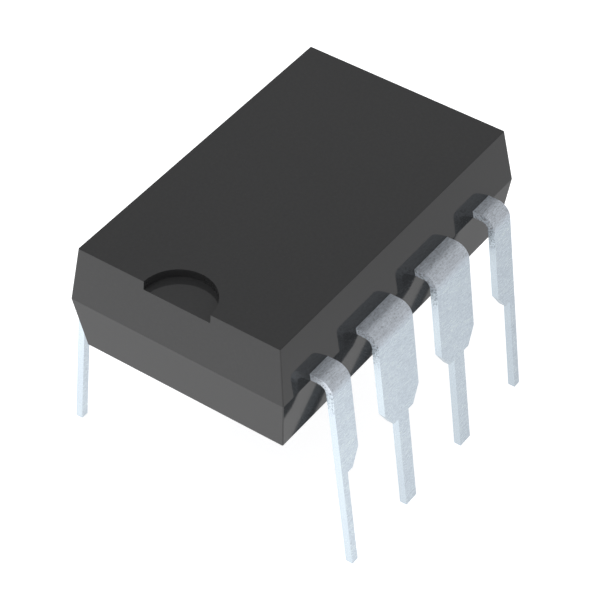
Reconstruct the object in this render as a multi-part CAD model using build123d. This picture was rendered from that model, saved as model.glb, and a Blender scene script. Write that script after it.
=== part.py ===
from build123d import *

import os
from math import atan2, cos, degrees, radians, tan

# An integrated circuit in a moulded 8-pin dual in-line package. Millimetres.
# X runs across the package from one lead row to the other, Y along it with the notch at the -Y end, Z up.
# The eight lead tips stand on Z = 0, and X = Y = 0 is the middle of the footprint.

# Lead rows
lead_pitch = 2.54
leads_per_row = 4
lead_splay = 6.15  # degrees that each leg leans outwards

# Lead sheet: one strip of metal, sheared to shape and bent once
lead_thickness = 0.20
bend_inner_radius = 0.22
shoulder_reach = 0.23  # from the moulding's side to the start of the bend
pin_width = 0.45
end_pin_width = 0.23  # a corner lead is half a lead, with a shoulder on its inner side only
pin_length = 2.985  # from the step down to the tip
step_ledge = 0.21  # the level step beside the pin
taper_run = 0.305  # how far the taper above the step widens on its side
taper_height = 0.48

# Moulded body, widest at the parting line where the leads come out
end_overhang = 1.11  # from the corner pins' outer edges to the body's ends
body_width = 6.45
upper_thickness = 1.63
lower_thickness = 1.65
top_end_inset = 0.20
top_side_inset = 0.205
bottom_end_inset = 0.23
bottom_side_inset = 0.205
corner_radius = 0.03
rim_radius = 0.02
standoff = 1.195  # from the step of the pins to the underside

# Marks in the body
notch_radius = 1.0
notch_depth = 0.245
ejector_radius = 0.55
ejector_depth = 0.05
ejector_margin = 2.2  # from the body's end to the middle of a mark

# Lead frame inside the body
pad_width = 2.2
pad_length = 3.0
pad_drop = 0.20  # how far the pad is pressed down below the leads
tie_width = 0.40
tie_slope = 0.35
tie_cover = 0.25  # moulding left over the end of each tie bar
root_length = 0.90  # how far the wide part of a lead runs into the body
lock_radius = 0.17
finger_width = 0.50
finger_gap = 0.40

# Chip, its adhesive and its wires
die_width = 1.30
die_length = 1.80
die_thickness = 0.28
attach_margin = 0.06
attach_thickness = 0.03
bond_inset = 0.10
bond_end_inset = 0.18
wire_radius = 0.0165
wire_sides = 8  # the round wire and its ball are drawn with flats, to keep them light
ball_radius = 0.045
ball_height = 0.03
wire_rise = 0.06  # straight up from the ball before the loop turns over
wire_bend_radius = 0.09

# Heights above the tips
taper_z = pin_length + taper_height
underside_z = pin_length + standoff
parting_z = underside_z + lower_thickness
top_z = parting_z + upper_thickness
lead_bottom_z = parting_z  # the sheet lies on the lower half of the mould
lead_top_z = lead_bottom_z + lead_thickness
pad_top_z = lead_top_z - pad_drop
die_bottom_z = pad_top_z + attach_thickness
die_top_z = die_bottom_z + die_thickness

# Sizes of the body and places across it
body_length = (leads_per_row - 1) * lead_pitch + end_pin_width + 2 * end_overhang
body_side = body_width / 2
root_x = body_side - root_length
bend_outer_radius = bend_inner_radius + lead_thickness
bend_x = body_side + shoulder_reach
bend_z = lead_top_z - bend_outer_radius
splay = radians(lead_splay)
tip_outer_x = bend_x + bend_outer_radius / cos(splay) + bend_z * tan(splay)
tip_inner_x = tip_outer_x - lead_thickness / cos(splay)


def row_y(place):
    """Middle of a pin along its row, for places 0 to leads_per_row - 1."""
    return (place - (leads_per_row - 1) / 2) * lead_pitch


def is_corner(place):
    return place in (0, leads_per_row - 1)


def inward(place):
    """Direction along the row that points to the middle of the package."""
    return 1 if row_y(place) < 0 else -1


def flank(pin_edge):
    """Edge of a lead from its shoulder down to its tip, as distances from the pin's middle and heights."""
    step_edge = pin_edge + step_ledge
    shoulder_edge = step_edge + taper_run
    above = lead_top_z + lead_thickness
    return [
        (shoulder_edge, above),
        (shoulder_edge, taper_z),
        (step_edge, pin_length),
        (pin_edge, pin_length),
        (pin_edge, 0),
    ]


def tapered_block(z_low, low_size, z_high, high_size):
    """One half of the moulding, lofted between two rounded rectangles."""
    sections = Sketch() + [
        Pos(0, 0, z_low) * RectangleRounded(*low_size, corner_radius),
        Pos(0, 0, z_high) * RectangleRounded(*high_size, corner_radius),
    ]
    return loft(sections)


def body_blank():
    """The uncut moulding, with draft on every wall above and below the parting line."""
    bottom = (body_width - 2 * bottom_side_inset, body_length - 2 * bottom_end_inset)
    widest = (body_width, body_length)
    top = (body_width - 2 * top_side_inset, body_length - 2 * top_end_inset)
    blank = tapered_block(underside_z, bottom, parting_z, widest)
    blank += tapered_block(parting_z, widest, top_z, top)
    rims = blank.edges().group_by(Axis.Z)[-1] + blank.edges().group_by(Axis.Z)[0]
    return fillet(rims, rim_radius)


def notch_cutter():
    """Half-round index notch at the pin 1 end, centred on the top face's end edge."""
    edge_y = -(body_length / 2 - top_end_inset)
    return Pos(0, edge_y, top_z) * Cylinder(notch_radius, 2 * notch_depth)


def ejector_cutters():
    """Shallow round marks that the mould's ejector pins leave in the underside."""
    mark = Cylinder(ejector_radius, 2 * ejector_depth)
    mark_y = body_length / 2 - ejector_margin
    return [Pos(0, side * mark_y, underside_z) * mark for side in (-1, 1)]


def leg_profile():
    """Edge-on section of the bend and the splayed leg, in XZ."""
    turn = 90 - lead_splay
    centre = (bend_x, bend_z)
    outer = CenterArc(centre, bend_outer_radius, 90, -turn)
    inner = CenterArc(centre, bend_inner_radius, 90, -turn)
    edges = [
        outer,
        inner,
        Line(inner @ 0, outer @ 0),
        Line(outer @ 1, (tip_outer_x, 0)),
        Line((tip_outer_x, 0), (tip_inner_x, 0)),
        Line((tip_inner_x, 0), inner @ 1),
    ]
    return Plane.XZ * make_face(edges)


def leg_outline(place):
    """Outline of a leg seen square on: straight shoulder, taper, step and narrow pin, in YZ."""
    if is_corner(place):
        inner = flank(end_pin_width / 2)
        outer = [(-end_pin_width / 2, z) for _, z in (inner[-1], inner[0])]
    else:
        inner = flank(pin_width / 2)
        outer = [(-y, z) for y, z in reversed(inner)]
    points = [(row_y(place) + inward(place) * y, z) for y, z in outer + inner]
    return Plane.YZ * make_face(Polyline(points, close=True))


def shoulder_span(place):
    """Middle and width of the wide part, along the row."""
    if is_corner(place):
        width = end_pin_width + step_ledge + taper_run
        return row_y(place) + inward(place) * (width - end_pin_width) / 2, width
    return row_y(place), pin_width + 2 * (step_ledge + taper_run)


def finger_tip(place):
    """Middle of the rounded end of a finger, where its wire is bonded."""
    clear = finger_gap + finger_width / 2
    if is_corner(place):
        return Vector(pad_width / 2, -inward(place) * (pad_length / 2 + clear))
    return Vector(pad_width / 2 + clear, row_y(place))


def strip_between(start, end, width):
    """Flat strip with rounded ends around the line from start to end."""
    along = end - start
    middle = (start + end) / 2
    strip = Rot(0, 0, degrees(atan2(along.Y, along.X))) * Rectangle(along.length, width)
    return Pos(middle) * strip + Pos(start) * Circle(width / 2) + Pos(end) * Circle(width / 2)


def flat_outline(place):
    """Shoulder, root and finger seen from above, with the round hole that locks the lead in the moulding."""
    middle, width = shoulder_span(place)
    root = Pos((root_x + bend_x) / 2, middle) * Rectangle(bend_x - root_x, width)
    elbow = Vector(root_x, middle)
    outline = root + strip_between(elbow, finger_tip(place), finger_width)
    return outline - Pos(body_side - root_length / 2, middle) * Circle(lock_radius)


def lead(place):
    """One lead of the +X row, from finger tip to pin tip."""
    flat = extrude(Pos(0, 0, lead_bottom_z) * flat_outline(place), lead_thickness)
    leg = extrude(leg_profile(), body_length, both=True)
    leg &= extrude(leg_outline(place), 2 * tip_outer_x)
    return flat + leg


def die_pad():
    """Pad pressed down below the leads, with a sloping tie bar at each end."""
    bar_end = body_length / 2 - tie_cover
    slope_start = pad_length / 2 + tie_slope
    upper = [(-bar_end, lead_top_z), (-slope_start, lead_top_z), (-pad_length / 2, pad_top_z)]
    upper += [(-y, z) for y, z in reversed(upper)]
    lower = [(y, z - lead_thickness) for y, z in reversed(upper)]
    bars = extrude(Plane.YZ * make_face(Polyline(upper + lower, close=True)), tie_width / 2, both=True)
    plate = Pos(0, 0, pad_top_z - lead_thickness / 2) * Box(pad_width, pad_length, lead_thickness)
    return bars + plate


def die_attach():
    size = (die_width + 2 * attach_margin, die_length + 2 * attach_margin, attach_thickness)
    return Pos(0, 0, pad_top_z + attach_thickness / 2) * Box(*size)


def die():
    return Pos(0, 0, die_bottom_z + die_thickness / 2) * Box(die_width, die_length, die_thickness)


def bond_wire(place, landing):
    """Ball bond on the chip, loop, and the end that is stitched down on the finger."""
    bond_pitch = (die_length - 2 * bond_end_inset) / (leads_per_row - 1)
    bond_y = (place - (leads_per_row - 1) / 2) * bond_pitch
    start = Vector(die_width / 2 - bond_inset, bond_y, die_top_z)
    crest = start + Vector(0, 0, ball_height + wire_rise + 2 * wire_bend_radius)
    stitch = finger_tip(place) + Vector(0, 0, lead_top_z)
    beyond = stitch + (stitch - crest).normalized() * 4 * wire_radius
    path = FilletPolyline([start, crest, beyond], radius=wire_bend_radius)
    wire = sweep(Plane(start) * RegularPolygon(wire_radius, wire_sides), path)
    ball = extrude(Plane(start) * RegularPolygon(ball_radius, wire_sides), ball_height)
    return wire + ball - landing


def both_rows(make):
    """Pieces of the +X row, then of the -X row, which is the same row turned half way round."""
    row = [make(place) for place in range(leads_per_row)]
    return row + [piece.rotate(Axis.Z, 180) for piece in row]


leads = both_rows(lead)
wires = both_rows(lambda place: bond_wire(place, leads[place]))
inner = {"die_pad": die_pad(), "die_attach": die_attach(), "die": die()}

body = body_blank() - notch_cutter() - ejector_cutters()
body -= leads + list(inner.values()) + wires

pieces = {"mould_body": body, **inner}
for number, piece in enumerate(leads, start=1):
    pieces[f"lead_{number}"] = piece
for number, piece in enumerate(wires, start=1):
    pieces[f"bond_wire_{number}"] = piece

os.makedirs("parts", exist_ok=True)
for name, piece in pieces.items():
    export_step(piece, f"parts/{name}.step")
    print(name, "solids", len(piece.solids()), "volume", round(piece.volume, 4))
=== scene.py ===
# %% [markdown]
# # Finishing an eight-pin dual in-line package
#
# The object is a small integrated circuit, ten millimetres long. A dark epoxy block is moulded around a
# sheet metal frame, tapers away from its parting line, and has a half-round notch at the pin 1 end. Eight
# plated leads come out of its sides, bend down and lean outwards a little.
#
# Its twenty solids are exact already, so this lesson models nothing. It gives each solid the finish of the
# real thing, then sets the table, the light and the camera. Every finish is made of nodes, because at this
# size a picture would show its dots, while a noise texture stays sharp however close the camera comes.

import math

import bpy
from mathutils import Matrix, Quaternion, Vector


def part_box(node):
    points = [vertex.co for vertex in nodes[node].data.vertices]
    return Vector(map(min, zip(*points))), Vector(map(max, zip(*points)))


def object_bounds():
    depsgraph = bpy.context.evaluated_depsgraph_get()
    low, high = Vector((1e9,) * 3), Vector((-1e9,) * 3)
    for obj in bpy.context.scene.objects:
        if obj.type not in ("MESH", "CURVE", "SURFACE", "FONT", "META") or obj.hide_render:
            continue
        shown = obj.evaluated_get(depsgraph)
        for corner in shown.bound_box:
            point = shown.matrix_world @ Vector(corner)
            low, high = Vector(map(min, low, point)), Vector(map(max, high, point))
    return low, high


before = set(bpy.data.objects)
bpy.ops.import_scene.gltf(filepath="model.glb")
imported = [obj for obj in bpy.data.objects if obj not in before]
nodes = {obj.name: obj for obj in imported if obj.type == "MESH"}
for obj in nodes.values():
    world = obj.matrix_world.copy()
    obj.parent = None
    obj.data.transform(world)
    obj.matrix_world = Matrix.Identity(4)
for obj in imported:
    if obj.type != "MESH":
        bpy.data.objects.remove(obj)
cad_low, cad_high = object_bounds()
print("solids:", len(nodes))

# %% [markdown]
# ## Sizes come from the solids
#
# Blender works in metres and the object is drawn in them, so a grain of a twentieth of a millimetre is
# 0.00005. Writing `0.05 * MM` keeps such values readable. Heights and widths that a finish depends on are
# read from the solids' boxes, so the finish follows if the object is ever made a little larger.

# %% Read the places that the finishes need
MM = 0.001
SHEET_THICKNESS = 0.20 * MM

body_low, body_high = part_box("mould_body")
body_side = body_high.x
lead_top_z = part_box("lead_2")[1].z
parting_z = lead_top_z - SHEET_THICKNESS
levels = (body_low.z, parting_z, body_high.z)
print("size in mm:", [round(side / MM, 2) for side in cad_high - cad_low])
print("underside, parting line and top in mm:", [round(z / MM, 3) for z in levels])

# %% [markdown]
# ## One helper for all node trees
#
# Node trees are easy to draw with the mouse and tedious to write down. A single helper takes most of the
# tedium away: it adds a node, sets its options, and fills its sockets. Where a socket's value is another
# node's output, it makes the link. The code then reads from the texture coordinate at the top to the shader
# at the bottom, as the tree itself does from left to right.

# %% Define the helper
def add(tree, kind, inputs=None, **options):
    """Adds a node. inputs maps socket names or numbers to plain values, or to outputs to link to them."""
    made = tree.nodes.new(kind)
    for name, value in options.items():
        setattr(made, name, value)
    for name, value in (inputs or {}).items():
        if isinstance(value, bpy.types.NodeSocket):
            tree.links.new(value, made.inputs[name])
        else:
            made.inputs[name].default_value = value
    return made


print("helper:", add.__name__)

# %% [markdown]
# ## Shorter names for the commonest nodes
#
# A handful of nodes comes back in every finish: arithmetic on values, a mix of two values, a smooth ramp,
# and a vector taken apart into its X, Y and Z. Each gets a short function on top of the helper.
#
# Most ramps here follow a noise. A noise stays close to its middle, 0.5, and seldom comes near 0 or 1. So
# a tone that should use its full range has to change over a narrow band round that middle.

# %% Define the commonest nodes
NOISE_MIDDLE = 0.5


def math_node(tree, operation, first, second=0.0, third=0.0):
    """Output of a Math node on values or outputs."""
    return add(tree, "ShaderNodeMath", {0: first, 1: second, 2: third}, operation=operation).outputs[0]


def chain(tree, operation, *values):
    """The values taken together one after another by the same Math operation."""
    out = values[0]
    for value in values[1:]:
        out = math_node(tree, operation, out, value)
    return out


def mixed_value(tree, share, first, second):
    """Value that goes from first to second with share."""
    inputs = {"Factor": share, "A": first, "B": second}
    return add(tree, "ShaderNodeMix", inputs, data_type="FLOAT").outputs[0]


def ramp_between(tree, value, low, high, at_low=0.0, at_high=1.0):
    """Smooth change from at_low to at_high as value goes from low to high."""
    inputs = {"Value": value, "From Min": low, "From Max": high, "To Min": at_low, "To Max": at_high}
    return add(tree, "ShaderNodeMapRange", inputs, interpolation_type="SMOOTHSTEP").outputs["Result"]


def tone_over(tree, grain, tones, width=0.4):
    """Goes from the first to the second tone as a noise rises through that width round its middle."""
    return ramp_between(tree, grain, NOISE_MIDDLE - width / 2, NOISE_MIDDLE + width / 2, *tones)


def axes(tree, vector):
    """Outputs X, Y and Z of a vector."""
    return add(tree, "ShaderNodeSeparateXYZ", {0: vector}).outputs


shorthands = (math_node, chain, mixed_value, ramp_between, tone_over, axes)
print("commonest nodes:", [helper.__name__ for helper in shorthands])

# %% [markdown]
# ## Three effects that several finishes share
#
# A node group is a small tree with a name, named inputs and named outputs. It is built once and placed in
# as many materials as want it. The three groups here put out values only, so each material decides by
# itself whether they shift a colour, a roughness or a height.
#
# All three are made of noise in the object's own frame, so a grain stays on its piece when the piece moves.
# The noise has a fourth dimension, which serves as a seed: another value there gives another pattern.

# %% Define what a group is made of
def new_group(name, inputs, outputs):
    """Empty shader node group. inputs maps names to default values, outputs lists names."""
    group = bpy.data.node_groups.new(name, "ShaderNodeTree")
    for socket, value in inputs.items():
        made = group.interface.new_socket(socket, in_out="INPUT", socket_type="NodeSocketFloat")
        made.default_value = value
    for socket in outputs:
        group.interface.new_socket(socket, in_out="OUTPUT", socket_type="NodeSocketFloat")
    return group, group.nodes.new("NodeGroupInput").outputs, group.nodes.new("NodeGroupOutput")


def feed(tree, node, **outputs):
    """Links outputs to a node's inputs. Underscores stand for the spaces of a socket's name."""
    for socket, output in outputs.items():
        tree.links.new(output, node.inputs[socket.replace("_", " ")])


def object_place(tree):
    """The point on the surface, in the object's own frame, in metres."""
    return add(tree, "ShaderNodeTexCoord").outputs["Object"]


def noise(tree, place, size_mm, detail, roughness=0.5, seed=0.0):
    """Noise between 0 and 1 with lumps of about size_mm."""
    scale = math_node(tree, "DIVIDE", 1 / MM, size_mm)
    inputs = {"Vector": place, "W": seed, "Scale": scale, "Detail": detail, "Roughness": roughness}
    return add(tree, "ShaderNodeTexNoise", inputs, noise_dimensions="4D").outputs["Fac"]


print("makers for groups:", [helper.__name__ for helper in (new_group, feed, object_place, noise)])

# %% [markdown]
# The first effect is the pebble grain that a mould leaves on everything it moulds: a fine noise for the
# pebbles, plus a finer one for the dust of filler on them. The dust shows only where its noise runs high,
# so its flecks lie apart. The size of the pebbles is given in millimetres.

# %% Build the pebble grain
DUST_TO_PEBBLE = 0.35
DUST_SHOWS = (0.62, 0.74)


def pebble_grain():
    group, given, result = new_group("Pebble grain", {"Size mm": 0.08}, ["Height", "Fleck"])
    place = object_place(group)
    pebbles = noise(group, place, given["Size mm"], detail=3.0, roughness=0.55)
    dust_size = math_node(group, "MULTIPLY", given["Size mm"], DUST_TO_PEBBLE)
    dust = noise(group, place, dust_size, detail=1.0, seed=4.0)
    feed(group, result, Height=pebbles, Fleck=ramp_between(group, dust, *DUST_SHOWS))
    return group


PEBBLE = pebble_grain()
print("group:", PEBBLE.name, "gives a height and a fleck")

# %% [markdown]
# The second is the grain of rolled sheet. Sheet metal keeps fine lines along the way it went through the
# rolls, and plating follows them. A noise whose coordinates are squeezed across the rolling direction and
# stretched along it gives such lines. On this object they run along Y, across every lead, which is why
# they cross the outer faces of the legs at a slant when the object is seen from a corner.
#
# Two layers come out of it: short light and dark dashes, and softer bands, four times as wide and as long,
# that lie under them.

# %% Build the rolling grain
BAND_TO_LINE = 4.0


def rolling_grain():
    inputs = {"Width mm": 0.03, "Length mm": 0.25}
    group, given, result = new_group("Rolling grain", inputs, ["Line", "Band"])
    squeeze = math_node(group, "DIVIDE", given["Width mm"], given["Length mm"])
    along = add(group, "ShaderNodeCombineXYZ", {"X": 1.0, "Y": squeeze, "Z": 1.0}).outputs[0]
    inputs = {0: object_place(group), 1: along}
    rolled = add(group, "ShaderNodeVectorMath", inputs, operation="MULTIPLY").outputs[0]
    line = noise(group, rolled, given["Width mm"], detail=2.0, roughness=0.6)
    band_size = math_node(group, "MULTIPLY", given["Width mm"], BAND_TO_LINE)
    band = noise(group, rolled, band_size, detail=1.0, seed=7.0)
    feed(group, result, Line=line, Band=band)
    return group


ROLLING = rolling_grain()
print("group:", ROLLING.name, "gives lines and bands along Y")

# %% [markdown]
# The third is a slow drift of tone. No real surface has one colour from end to end: resin flows, plating
# is a little thicker here and thinner there. The drift is large and faint, and seen only when it is
# missing.

# %% Build the drift of tone
def tone_drift():
    group, given, result = new_group("Tone drift", {"Size mm": 2.0, "Amount": 0.05}, ["Factor"])
    cloud = noise(group, object_place(group), given["Size mm"], detail=3.0, seed=2.0)
    centred = math_node(group, "SUBTRACT", cloud, NOISE_MIDDLE)
    feed(group, result, Factor=math_node(group, "MULTIPLY_ADD", centred, given["Amount"], 1.0))
    return group


DRIFT = tone_drift()
print("groups:", [group.name for group in bpy.data.node_groups])

# %% [markdown]
# ## Shared steps inside the materials
#
# A material starts from a Principled BSDF. Its constant qualities, such as how strongly it reflects, are
# set on the shader itself. What changes over the surface is linked: a tinted colour, a roughness that
# follows the grain, and a bump whose depth is given in real micrometres.

# %% Define how a material starts
def set_sockets(node, values):
    """Sets a node's inputs. Underscores stand for the spaces of a socket's name."""
    for socket, value in values.items():
        node.inputs[socket.replace("_", " ")].default_value = value


def place_group(tree, group, **values):
    """Outputs of a node group that is placed in a material with its own values."""
    made = add(tree, "ShaderNodeGroup", node_tree=group)
    set_sockets(made, values)
    return made.outputs


def new_material(name, **constants):
    """Material with a Principled BSDF. The constants are set on the shader's own sockets."""
    material = bpy.data.materials.new(name)
    material.use_nodes = True
    shader = material.node_tree.nodes["Principled BSDF"]
    set_sockets(shader, constants)
    return material, material.node_tree, shader


print("starts of a material:", [helper.__name__ for helper in (set_sockets, place_group, new_material)])

# %% [markdown]
# Colours are multiplied by the tones that the grains give, or mixed by a mask. The Mix node carries sockets
# for values, vectors and colours side by side under the same names, so the colour ones are told apart by
# their identifiers.

# %% Define the steps on colours and surfaces
MICRON = 0.001 * MM


def scaled_colour(tree, colour, *factors):
    """The colour multiplied by one or more values."""
    out = colour
    for factor in factors:
        out = add(tree, "ShaderNodeVectorMath", {0: out, "Scale": factor}, operation="SCALE").outputs[0]
    return out


def mixed_colour(tree, share, first, second):
    """Colour that goes from first to second with share. Colours are triples or outputs."""
    made = add(tree, "ShaderNodeMix", {"Factor": share}, data_type="RGBA")
    sockets = {socket.identifier: socket for socket in (*made.inputs, *made.outputs)}
    for name, colour in (("A_Color", first), ("B_Color", second)):
        if isinstance(colour, bpy.types.NodeSocket):
            tree.links.new(colour, sockets[name])
        else:
            sockets[name].default_value = (*colour, 1.0)
    return sockets["Result_Color"]


def rough_and_bumpy(tree, shader, roughness, height, depth_um, normal=None):
    """Links a roughness and a bump of that depth in micrometres, over the normal if one is given."""
    inputs = {"Height": height, "Strength": 1.0, "Distance": depth_um * MICRON}
    bump = add(tree, "ShaderNodeBump", inputs)
    if normal is not None:
        feed(tree, bump, Normal=normal)
    feed(tree, shader, Roughness=roughness, Normal=bump.outputs["Normal"])


def dress(names, material, slot):
    """Gives CAD nodes a material. slot is not used."""
    for name in names:
        piece = nodes[name]
        piece.data.materials.clear()
        piece.data.materials.append(material)
    print(material.name, "on", len(names), "pieces")


steps = (scaled_colour, mixed_colour, rough_and_bumpy, dress)
print("steps:", [helper.__name__ for helper in steps])

# %% [markdown]
# ## Marks that the mould leaves
#
# The case is moulded between two steel halves, and it shows. Where they met, along the parting line, runs a
# hair-thin lighter line. On the underside two steel pins have pushed the case out of the mould, and their
# polished ends leave round, smoother marks. Masks draw both: values that are 1 on the mark and 0 elsewhere,
# worked out from the place on the surface, so that no face has to be picked by hand.

# %% Make the masks of the marks
EJECTOR_RADIUS = 0.55 * MM
EJECTOR_CORE = 0.98 * EJECTOR_RADIUS
EJECTOR_Y = body_high.y - 2.2 * MM
UNDERSIDE_DEPTH = 0.1 * MM
SEAM_HALF = 0.016 * MM
SEAM_CORE = 0.4 * SEAM_HALF


def ejector_mark(tree, place):
    """1 on the two round marks of the underside, 0 elsewhere."""
    where = axes(tree, place)
    along = math_node(tree, "SUBTRACT", math_node(tree, "ABSOLUTE", where["Y"]), EJECTOR_Y)
    flat = add(tree, "ShaderNodeCombineXYZ", {"X": where["X"], "Y": along}).outputs[0]
    reach = add(tree, "ShaderNodeVectorMath", {0: flat}, operation="LENGTH").outputs["Value"]
    inside = ramp_between(tree, reach, EJECTOR_RADIUS, EJECTOR_CORE)
    low = math_node(tree, "LESS_THAN", where["Z"], body_low.z + UNDERSIDE_DEPTH)
    return math_node(tree, "MULTIPLY", inside, low)


def parting_seam(tree, place):
    """1 on the hair line where the mould's halves met, 0 elsewhere."""
    off = math_node(tree, "ABSOLUTE", math_node(tree, "SUBTRACT", axes(tree, place)["Z"], parting_z))
    return ramp_between(tree, off, SEAM_HALF, SEAM_CORE)


print("ejector marks at y = +-", round(EJECTOR_Y / MM, 2), "mm, seam", 2 * SEAM_HALF / MM, "mm wide")

# %% [markdown]
# ## Walls that are slightly hollow
#
# Epoxy shrinks as it cures, so the walls below the parting line are not quite flat. A shading normal that
# is turned up by two degrees stands for that: too little to see as a shape, but a mirror doubles it, and it
# puts the images of the leads where the portrait has them.

# %% Turn the normal of the lower walls
HOLLOW = 0.035


def hollowed_wall(tree, place):
    """The surface's normal, turned up a little on the hollow walls below the parting line."""
    below = math_node(tree, "LESS_THAN", axes(tree, place)["Z"], parting_z)
    turn = add(tree, "ShaderNodeCombineXYZ", {"Z": math_node(tree, "MULTIPLY", below, HOLLOW)}).outputs[0]
    normal = add(tree, "ShaderNodeNewGeometry").outputs["Normal"]
    turned = add(tree, "ShaderNodeVectorMath", {0: normal, 1: turn}, operation="ADD").outputs["Vector"]
    return add(tree, "ShaderNodeVectorMath", {0: turned}, operation="NORMALIZE").outputs["Vector"]


print("lower walls turned up by", round(math.degrees(HOLLOW), 1), "degrees")

# %% [markdown]
# ## The moulded case
#
# The case is epoxy filled with ground silica and blackened with a little carbon. Its own colour is nearly
# black. Most of the grey that one sees is a reflection, because smooth plastic mirrors four per cent of
# what faces it squarely and up to four times as much of what it meets at a slant. So the walls show the
# white table, and beside each lead they show the dark image of its shoulder. The roughness decides how
# crisp these images are, and it is kept low.
#
# Bump and gloss alone look like clean rubber. What makes the case read as filled epoxy is that the filler
# shows too, as faint lighter specks, and that the pebbles' tops are smoother than the dips between them.

# %% Make the epoxy
EPOXY_GREY = (0.0285, 0.0287, 0.0292)
FLECK_TONES = (0.97, 1.13)
PEBBLE_TONES = (0.96, 1.04)
SEAM_TONE = 1.18
SATIN = (0.07, 0.045)
MARK_POLISH = -0.03
MARK_BUMP = 0.15


def moulded_epoxy():
    material, tree, shader = new_material("moulded_epoxy", Specular_IOR_Level=0.5, IOR=1.5)
    place = object_place(tree)
    grain = place_group(tree, PEBBLE, Size_mm=0.085)
    drift = place_group(tree, DRIFT, Size_mm=2.6, Amount=0.10)
    mark = ejector_mark(tree, place)
    fleck_tone = mixed_value(tree, grain["Fleck"], *FLECK_TONES)
    pebble_tone = tone_over(tree, grain["Height"], PEBBLE_TONES)
    seam_tone = mixed_value(tree, parting_seam(tree, place), 1.0, SEAM_TONE)
    tones = (drift["Factor"], fleck_tone, pebble_tone, seam_tone)
    feed(tree, shader, Base_Color=scaled_colour(tree, EPOXY_GREY, *tones))
    satin = tone_over(tree, grain["Height"], SATIN, width=0.5)
    roughness = math_node(tree, "MULTIPLY_ADD", mark, MARK_POLISH, satin)
    calm = mixed_value(tree, mark, 1.0, MARK_BUMP)
    height = math_node(tree, "MULTIPLY", grain["Height"], calm)
    rough_and_bumpy(tree, shader, roughness, height, depth_um=0.25, normal=hollowed_wall(tree, place))
    return material


dress(["mould_body"], moulded_epoxy(), "mould_compound")

# %% [markdown]
# ## Three surfaces on one lead
#
# A lead is stamped from thin rolled sheet, moulded in, then plated with tin and bent last. So one lead has
# three surfaces: the flat faces of the sheet, its sheared edges, and the stretched plating over the bend.
# On the edges the plating is torn as well, from the bend to a little below it.
#
# Each could be a material of its own, with the faces picked by hand. Masks do it with less work: the
# surface's own normal tells a flat face from a sheared edge, and the depth below the top of the sheet tells
# the bend from the leg.

# %% Make the masks of a lead
EDGE_NORMAL = (0.35, 0.6)
BEND_DEPTHS = (0.48 * MM, 0.18 * MM)
TEAR_DEPTHS = (1.12 * MM, 0.75 * MM)


def sheared_edge(tree):
    """1 on faces that look along the row of leads, 0 on the sheet's own faces."""
    normal = add(tree, "ShaderNodeTexCoord").outputs["Normal"]
    return ramp_between(tree, math_node(tree, "ABSOLUTE", axes(tree, normal)["Y"]), *EDGE_NORMAL)


def above_depths(tree, depths):
    """Goes from 0 to 1 between two depths below the top of the sheet, the deeper one first."""
    deep, shallow = depths
    height = axes(tree, object_place(tree))["Z"]
    return ramp_between(tree, height, lead_top_z - deep, lead_top_z - shallow)


print("bend and tear end", [round(depths[0] / MM, 2) for depths in (BEND_DEPTHS, TEAR_DEPTHS)], "mm down")

# %% [markdown]
# ## Light and dark in the plating
#
# The flat faces keep the rolling grain as fine light and dark dashes. The sheared edges have none: there
# the sheet was cut, and the plating is smooth. They are also painted a little brighter, a painted highlight
# that stands in for a brighter reflection. Over the bend the plating is stretched, the dashes run together
# into creases, and small dark pits open between them. Where the plating on the edges is torn, it shows a
# fine dark crackle.

# %% Make the tones of the plating
LINE_TONES = (0.88, 1.10)
BAND_TONES = (0.965, 1.035)
SPECK_TONES = (0.97, 1.03)
CREASE_TONES = (0.89, 1.04)
PIT_HEIGHTS = (0.38, 0.46)
PIT_TONE = 0.80
CRACK_HEIGHTS = (0.40, 0.50)
CRACK_TONE = 0.56
# Painted highlight: the colour of the sheared edges is raised by a twentieth, standing in for a brighter
# reflection.
PAINTED_CUT_HIGHLIGHT = 1.05


def sheet_tone(tree, grain, pebble, bend):
    """Tone of the flat faces: dashes, bands and specks, with creases and pits where the bend is."""
    stretched = place_group(tree, ROLLING, Width_mm=0.020, Length_mm=0.22)
    crease = tone_over(tree, stretched["Line"], CREASE_TONES, width=0.28)
    pit = ramp_between(tree, pebble["Height"], *PIT_HEIGHTS, PIT_TONE, 1.0)
    creased = mixed_value(tree, bend, 1.0, math_node(tree, "MULTIPLY", crease, pit))
    line = tone_over(tree, grain["Line"], LINE_TONES, width=0.36)
    band = tone_over(tree, grain["Band"], BAND_TONES)
    speck = tone_over(tree, pebble["Height"], SPECK_TONES)
    return chain(tree, "MULTIPLY", line, band, speck, creased)


def cut_tone(tree, pebble, tear):
    """Tone of the sheared edges: even and painted a little brighter as a painted highlight, with a dark
    crackle where the plating is torn.
    """
    crackle = ramp_between(tree, pebble["Height"], *CRACK_HEIGHTS, CRACK_TONE, PAINTED_CUT_HIGHLIGHT)
    return mixed_value(tree, tear, PAINTED_CUT_HIGHLIGHT, crackle)


print("pits down to", PIT_TONE, "and crackle down to", CRACK_TONE, "of the plating's tone")

# %% [markdown]
# ## Bare metal inside the case
#
# Inside the case the lead was never plated with tin. There it is bare copper alloy, and its finger tip has
# a spot of silver for the bond wire. The distance from the middle tells inside from outside. The change
# lies just below the case's skin, where nobody can see it.

# %% Make the metals of a lead
TIN = (0.78, 0.88, 0.975)
BENT_TIN = (0.76, 0.815, 0.885)
COPPER_ALLOY = (0.72, 0.45, 0.30)
SILVER = (0.86, 0.85, 0.82)
PLATING_START = body_side - 0.05 * MM
SILVER_REACH = 2.1 * MM


def lead_colour(tree, plating):
    """The plating outside the case, copper alloy inside it, and silver on the finger tips."""
    inwards = math_node(tree, "ABSOLUTE", axes(tree, object_place(tree))["X"])
    buried = math_node(tree, "LESS_THAN", inwards, PLATING_START)
    silver = math_node(tree, "LESS_THAN", inwards, SILVER_REACH)
    inner = mixed_colour(tree, silver, COPPER_ALLOY, SILVER)
    return mixed_colour(tree, buried, plating, inner)


print("plating starts", round(PLATING_START / MM, 3), "mm from the middle")

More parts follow.
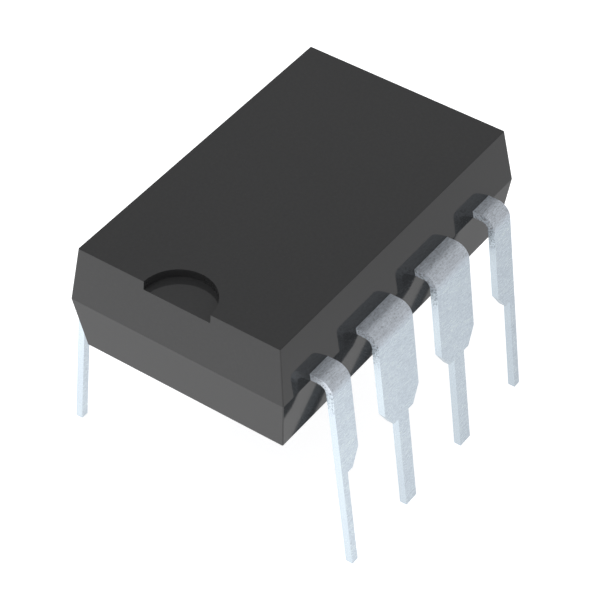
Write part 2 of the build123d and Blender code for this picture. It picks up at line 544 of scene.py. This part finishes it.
# %% [markdown]
# ## The plated leads
#
# The plating is not metallic throughout. Plated tin is a felt of tiny crystals, which scatter some of the
# light much as paint does. So a fifth of it is diffuse, and more where it is stretched or torn. Without
# that share, what mirrors a dark wall would itself be nearly as dark. Over the bend it is also duller and
# less blue.
#
# The case mirrors the leads, and a mirror in a mirror shows little but dark here, as the part on rays
# explains. Light that has met more mirrors than that is left out. A faint glow, for mirrored rays only and
# stronger on the shoulders than on the legs, stands for it and gives the leads' images their flat dark
# grey.

# %% Make the tin plate
PLATED_METAL = 0.80
BENT_METAL = 0.65
TORN_METAL = 0.25
PLATED_ROUGHNESS = 0.20
BENT_ROUGHNESS = 0.40
LINE_ROUGHNESS = 0.12
CUT_BUMP = 0.2
SHOULDER_GLOW = 0.15
LEG_GLOW = 0.06


def tin_plate():
    material, tree, shader = new_material("tin_plate", Emission_Strength=1.0)
    grain = place_group(tree, ROLLING, Width_mm=0.024, Length_mm=0.11)
    pebble = place_group(tree, PEBBLE, Size_mm=0.05)
    drift = place_group(tree, DRIFT, Size_mm=0.9, Amount=0.10)
    edge = sheared_edge(tree)
    bend = above_depths(tree, BEND_DEPTHS)
    tear = above_depths(tree, TEAR_DEPTHS)
    tone = mixed_value(tree, edge, sheet_tone(tree, grain, pebble, bend), cut_tone(tree, pebble, tear))
    plating = scaled_colour(tree, mixed_colour(tree, bend, TIN, BENT_TIN), drift["Factor"], tone)
    stretched_metal = mixed_value(tree, edge, BENT_METAL, TORN_METAL)
    metal = mixed_value(tree, bend, PLATED_METAL, stretched_metal)
    mirrored = add(tree, "ShaderNodeLightPath").outputs["Is Glossy Ray"]
    glow = scaled_colour(tree, TIN, mirrored, mixed_value(tree, tear, LEG_GLOW, SHOULDER_GLOW))
    feed(tree, shader, Base_Color=lead_colour(tree, plating), Metallic=metal, Emission_Color=glow)
    smoothest = mixed_value(tree, bend, PLATED_ROUGHNESS, BENT_ROUGHNESS)
    roughness = math_node(tree, "MULTIPLY_ADD", grain["Line"], LINE_ROUGHNESS, smoothest)
    relief = math_node(tree, "ADD", grain["Line"], pebble["Height"])
    height = math_node(tree, "MULTIPLY", relief, mixed_value(tree, edge, 1.0, CUT_BUMP))
    rough_and_bumpy(tree, shader, roughness, height, depth_um=2.5)
    return material


leads = sorted(name for name in nodes if name.startswith("lead_"))
dress(leads, tin_plate(), "tin_plate")

# %% [markdown]
# ## The pad under the chip
#
# Nobody sees the inner pieces in the portrait, but the object is taken apart in lessons of its own, so they
# get their true finishes too. The pad under the chip is bare copper alloy with a silver spot, and keeps the
# sheet's rolling grain.

# %% Make the pad's metal
SPOT_Y = 1.4 * MM
PAD_LINE_TONES = (0.92, 1.06)
PAD_ROUGHNESS = (0.28, 0.40)


def pad_metal():
    material, tree, shader = new_material("pad_metal", Metallic=1.0)
    grain = place_group(tree, ROLLING, Width_mm=0.04, Length_mm=0.4)
    drift = place_group(tree, DRIFT, Size_mm=1.0, Amount=0.12)
    along = math_node(tree, "ABSOLUTE", axes(tree, object_place(tree))["Y"])
    spot = math_node(tree, "LESS_THAN", along, SPOT_Y)
    metal = mixed_colour(tree, spot, COPPER_ALLOY, SILVER)
    line_tone = tone_over(tree, grain["Line"], PAD_LINE_TONES)
    feed(tree, shader, Base_Color=scaled_colour(tree, metal, drift["Factor"], line_tone))
    roughness = tone_over(tree, grain["Band"], PAD_ROUGHNESS)
    rough_and_bumpy(tree, shader, roughness, grain["Line"], depth_um=1.5)
    return material


dress(["die_pad"], pad_metal(), "lead_frame")

# %% [markdown]
# ## The adhesive and the bond wires
#
# The adhesive is epoxy full of silver flakes: a dull grey with glints. The glints are the flecks of the
# pebble grain, which are metallic and smoother here. The bond wires are drawn gold, and their grain is
# faint.

# %% Make the adhesive and the gold
ADHESIVE_GREY = (0.40, 0.395, 0.38)
EPOXY_ROUGHNESS = 0.65
FLAKE_ROUGHNESS = 0.30
GOLD = (0.90, 0.66, 0.26)
GOLD_ROUGHNESS = (0.18, 0.32)


def silver_adhesive():
    material, tree, shader = new_material("silver_adhesive")
    flakes = place_group(tree, PEBBLE, Size_mm=0.03)
    drift = place_group(tree, DRIFT, Size_mm=0.4, Amount=0.2)
    colour = scaled_colour(tree, ADHESIVE_GREY, drift["Factor"])
    feed(tree, shader, Base_Color=colour, Metallic=flakes["Fleck"])
    roughness = ramp_between(tree, flakes["Fleck"], 0.0, 1.0, EPOXY_ROUGHNESS, FLAKE_ROUGHNESS)
    rough_and_bumpy(tree, shader, roughness, flakes["Height"], depth_um=2.0)
    return material


def drawn_gold():
    material, tree, shader = new_material("drawn_gold", Metallic=1.0)
    drift = place_group(tree, DRIFT, Size_mm=0.2, Amount=0.15)
    pebble = place_group(tree, PEBBLE, Size_mm=0.012)
    feed(tree, shader, Base_Color=scaled_colour(tree, GOLD, drift["Factor"]))
    roughness = tone_over(tree, pebble["Height"], GOLD_ROUGHNESS)
    rough_and_bumpy(tree, shader, roughness, pebble["Height"], depth_um=0.4)
    return material


wires = sorted(name for name in nodes if name.startswith("bond_wire_"))
dress(["die_attach"], silver_adhesive(), "silver_adhesive")
dress(wires, drawn_gold(), "gold_wire")

# %% [markdown]
# ## Where the bond pads lie
#
# The top of a chip is a plan of the circuit, with a square aluminium pad under each bond. The pads are
# placed from the wires, so that each wire starts on a pad. Each half of the chip mirrors the other, along
# and across, so taking the absolute value of X and Y first lets two squares draw all eight.

# %% Find the bond pads
BALL_RADIUS = 0.045 * MM
PAD_HALF = 0.06 * MM


def bond_places():
    """Middles of the bond pads in the quarter with positive X and Y, from the boxes of the wires there."""
    lows = [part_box(name)[0] for name in wires]
    return [(low.x + BALL_RADIUS, low.y + BALL_RADIUS) for low in lows if low.x > 0 and low.y > 0]


def square_spot(tree, x, y, place):
    """1 on the square pad round the place, 0 outside."""
    off_x = math_node(tree, "ABSOLUTE", math_node(tree, "SUBTRACT", x, place[0]))
    off_y = math_node(tree, "ABSOLUTE", math_node(tree, "SUBTRACT", y, place[1]))
    return math_node(tree, "LESS_THAN", math_node(tree, "MAXIMUM", off_x, off_y), PAD_HALF)


print("bond pads at", [[round(value / MM, 3) for value in place] for place in bond_places()], "mm")

# %% [markdown]
# ## The chip
#
# Round the pads lies a field of small cells, with a frame of metal tracks at the chip's rim. The field is a
# brick texture, which is a quick way to rows of cells with gaps between. Only the top is drawn. The sides
# are sawn silicon, all one colour.

# %% Make the silicon
SILICON = (0.13, 0.15, 0.20)
CELL = (0.22, 0.20, 0.30)
ALUMINIUM = (0.80, 0.80, 0.81)
FRAME_INSET = 0.035 * MM
TOP_DEPTH = 0.005 * MM
CHIP_ROUGHNESS = 0.22

die_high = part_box("die")[1]


def circuit_cells(tree, place):
    """Colour of a field of small cells with metal between them. The texture's sizes are in millimetres."""
    cells = add(tree, "ShaderNodeTexBrick", {"Vector": place, "Scale": 1 / MM})
    set_sockets(cells, {"Brick Width": 0.12, "Row Height": 0.05, "Mortar Size": 0.008})
    colours = {"Color1": CELL, "Color2": SILICON, "Mortar": ALUMINIUM}
    set_sockets(cells, {socket: (*colour, 1.0) for socket, colour in colours.items()})
    return cells.outputs["Color"]


def patterned_silicon():
    material, tree, shader = new_material("patterned_silicon")
    place = object_place(tree)
    where = axes(tree, place)
    x = math_node(tree, "ABSOLUTE", where["X"])
    y = math_node(tree, "ABSOLUTE", where["Y"])
    pads = [square_spot(tree, x, y, spot) for spot in bond_places()]
    rim_x = math_node(tree, "GREATER_THAN", x, die_high.x - FRAME_INSET)
    rim_y = math_node(tree, "GREATER_THAN", y, die_high.y - FRAME_INSET)
    metal = chain(tree, "MAXIMUM", *pads, rim_x, rim_y)
    top = math_node(tree, "GREATER_THAN", where["Z"], die_high.z - TOP_DEPTH)
    drawn = mixed_colour(tree, metal, circuit_cells(tree, place), ALUMINIUM)
    bright = math_node(tree, "MULTIPLY", top, metal)
    feed(tree, shader, Base_Color=mixed_colour(tree, top, SILICON, drawn), Metallic=bright)
    drift = place_group(tree, DRIFT, Size_mm=0.3, Amount=0.3)
    roughness = math_node(tree, "MULTIPLY", drift["Factor"], CHIP_ROUGHNESS)
    rough_and_bumpy(tree, shader, roughness, bright, depth_um=1.0)
    return material


dress(["die"], patterned_silicon(), "silicon")

# %% [markdown]
# ## What a ray has met
#
# The portrait has a plain white ground, but the object mirrors a softer one: brightest in front of the
# notched end, darker along the leads and behind. One sheet of paint can't be both, so the table and the
# room ask what kind of ray has met them. The Light Path node answers. It tells camera rays, mirrored rays
# and diffuse rays apart, and counts the mirrors that a ray has met.
#
# A ray that has met two mirrors finds a nearly black table, and a dimmer room. A lead seen in the case is
# such a pair of mirrors. Its image in the walls stays dark because of this, as it is in the portrait.

# %% Define the questions to a ray
def seen_directly(tree):
    """1 for rays from the camera, from a reflection or through glass, 0 for diffuse light."""
    ray = add(tree, "ShaderNodeLightPath").outputs
    return chain(tree, "MAXIMUM", ray["Is Camera Ray"], ray["Is Glossy Ray"], ray["Is Transmission Ray"])


def beyond_mirrors(tree, count, share):
    """1 for what is seen by way of fewer mirrors than count, the share from there on."""
    mirrors = add(tree, "ShaderNodeLightPath").outputs["Glossy Depth"]
    return ramp_between(tree, mirrors, count - 1.0, count, 1.0, share)


print("questions to a ray:", [helper.__name__ for helper in (seen_directly, beyond_mirrors)])

# %% [markdown]
# ## The table
#
# Rays from the camera find a strong glow, which makes white of all but a trace of the object's shadow. Rays
# from a mirror find a glow that fades along Y, and less of the table's own paint, so that the glow alone
# sets what they show. Diffuse rays find no glow, so it doesn't light the object.
#
# Seen from below the table is clear, so that the underside can be looked at too. It casts no shadow
# either, because one of the lamps shines from below its edge.

# %% Make the table's finish
WHITE = (1.0, 1.0, 1.0, 1.0)
TABLE_WHITE = (0.62, 0.623, 0.628)
TABLE_ONCE = 0.4
TABLE_AGAIN = 0.02
CAMERA_GLOW = 0.80
NEAR_GLOW = 0.885
FAR_GLOW = 0.385
GLOW_FROM = -15 * MM
GLOW_TO = 11 * MM


def table_glow(tree, again):
    """Strength of the table's glow for each kind of ray. again dims it in a second mirror."""
    along = axes(tree, object_place(tree))["Y"]
    fading = ramp_between(tree, along, GLOW_FROM, GLOW_TO, NEAR_GLOW, FAR_GLOW)
    camera_ray = add(tree, "ShaderNodeLightPath").outputs["Is Camera Ray"]
    glow = mixed_value(tree, camera_ray, math_node(tree, "MULTIPLY", fading, again), CAMERA_GLOW)
    return math_node(tree, "MULTIPLY", seen_directly(tree), glow)


def table_top():
    material, tree, shader = new_material("table_top", Roughness=0.9, Specular_IOR_Level=0.0)
    set_sockets(shader, {"Emission Color": WHITE})
    once = beyond_mirrors(tree, 1, TABLE_ONCE)
    again = beyond_mirrors(tree, 2, TABLE_AGAIN)
    paint = scaled_colour(tree, TABLE_WHITE, once, again)
    feed(tree, shader, Base_Color=paint, Emission_Strength=table_glow(tree, again))
    clear = add(tree, "ShaderNodeBsdfTransparent").outputs[0]
    behind = add(tree, "ShaderNodeNewGeometry").outputs["Backfacing"]
    mix = add(tree, "ShaderNodeMixShader", {0: behind, 1: shader.outputs[0], 2: clear})
    feed(tree, tree.nodes["Material Output"], Surface=mix.outputs[0])
    return material


print("glow from", NEAR_GLOW, "in front to", FAR_GLOW, "behind")

# %% [markdown]
# The table itself is one square at the height of the lead tips, so large that the portrait doesn't show its
# edge.

# %% Lay the table
TABLE_SIZE = 1.2

bpy.ops.mesh.primitive_plane_add(size=TABLE_SIZE, location=(0, 0, cad_low.z))
table = bpy.context.object
table.name = "table"
table.data.materials.append(table_top())
table.visible_shadow = False
print("table laid at z =", round(cad_low.z, 6))

# %% [markdown]
# ## The surroundings
#
# Metal shows its surroundings more than its own colour, so they are half of the leads' finish. The legs
# look bright in the portrait and the shoulders look grey. A studio gives that when it has a white table
# but a dim ceiling: the legs mirror the table, the shoulders mirror the ceiling. The world here is such a
# room, even and grey, with a lighter band only just above the horizon. For the camera it is white.
#
# Diffuse light gets a strength of its own, so that the top of the case can be set without the shoulders.

# %% Build the surroundings
WALL_TOP = 0.0
CEILING_FROM = 0.06
WALL_GREY = 0.60
CEILING_GREY = 0.385
ROOM_AGAIN = 0.3
AMBIENT = (0.62, 0.62, 0.63, 1.0)

world = bpy.data.worlds.new("studio")
bpy.context.scene.world = world
world.use_nodes = True
room = world.node_tree
room.nodes.clear()
upwards = axes(room, add(room, "ShaderNodeTexCoord").outputs["Generated"])["Z"]
wall = ramp_between(room, upwards, WALL_TOP, CEILING_FROM, WALL_GREY, CEILING_GREY)
dimmed = math_node(room, "MULTIPLY", wall, beyond_mirrors(room, 2, ROOM_AGAIN))
camera_ray = add(room, "ShaderNodeLightPath").outputs["Is Camera Ray"]
backdrop = math_node(room, "MAXIMUM", dimmed, camera_ray)
shown = add(room, "ShaderNodeBackground", {"Color": WHITE, "Strength": backdrop})
ambient = add(room, "ShaderNodeBackground", {"Color": AMBIENT, "Strength": 1.0})
sources = {0: seen_directly(room), 1: ambient.outputs[0], 2: shown.outputs[0]}
either = add(room, "ShaderNodeMixShader", sources)
add(room, "ShaderNodeOutputWorld", {"Surface": either.outputs[0]})
print("walls at", WALL_GREY, "and ceiling at", CEILING_GREY, "of white")

# %% [markdown]
# ## The lamps
#
# Two soft lamps finish the light. The high one shines on the top and on the notch's floor, and leaves the
# notch's curved wall dark. The front one shines upwards from below the table's edge and reaches only walls
# that face it, so the notched end comes out a little lighter than the long side.
#
# Sun lamps serve well for objects this small: their strength needs no change with distance, and their
# angle sets how soft a shadow is. They are kept out of reflections, because a real studio's lamps are
# hooded from shiny work, which should mirror white card and not bulbs.

# %% Set the lamps
def lamp(name, towards, strength, softness):
    """Sun lamp that shines from the direction towards. Softness is its width in degrees."""
    light = bpy.data.lights.new(name, "SUN")
    light.energy = strength
    light.angle = math.radians(softness)
    made = bpy.data.objects.new(name, light)
    made.rotation_mode = "QUATERNION"
    made.rotation_quaternion = Vector(towards).to_track_quat("Z", "Y")
    made.visible_glossy = False
    bpy.context.scene.collection.objects.link(made)
    return made


lamps = [
    lamp("high_lamp", towards=(-0.25, -0.35, 1.0), strength=1.1, softness=30.0),
    lamp("front_lamp", towards=(-0.35, -1.0, -0.35), strength=2.0, softness=20.0),
]
print("lamps:", [(made.name, round(made.data.energy, 2)) for made in lamps])

# %% [markdown]
# ## The camera
#
# The portrait was taken with a long lens from a corner, looking down at 44 degrees. The viewing angles, the
# aim, the distance and the lens are all that a camera needs, so they are written here as such, and its
# place is worked out from them. A tilt of half a degree about its own axis matches the portrait's
# verticals.

# %% Place the camera
VIEW_AZIMUTH = math.radians(36.146)
VIEW_ELEVATION = math.radians(43.614)
VIEW_ROLL = math.radians(-0.605)
VIEW_DISTANCE = 64.937 * MM
AIM = Vector((0.271, -0.275, 4.0)) * MM
SENSOR = 36.0
FOCAL_LENGTH = 152.258
CLIP_NEAR = 1 * MM
CLIP_FAR = 10.0

flat = math.cos(VIEW_ELEVATION)
sideways = math.sin(VIEW_AZIMUTH) * flat
backwards = -math.cos(VIEW_AZIMUTH) * flat
back = Vector((sideways, backwards, math.sin(VIEW_ELEVATION)))
camera = bpy.data.objects.new("portrait_camera", bpy.data.cameras.new("portrait_camera"))
camera.data.sensor_width = SENSOR
camera.data.lens = FOCAL_LENGTH
camera.data.clip_start = CLIP_NEAR
camera.data.clip_end = CLIP_FAR
camera.location = AIM + back * VIEW_DISTANCE
camera.rotation_mode = "QUATERNION"
camera.rotation_quaternion = back.to_track_quat("Z", "Y") @ Quaternion((0.0, 0.0, 1.0), VIEW_ROLL)
bpy.context.scene.collection.objects.link(camera)
bpy.context.scene.camera = camera
bpy.context.scene.view_settings.view_transform = "Standard"
print("camera at", [round(value / MM, 2) for value in camera.location], "mm")
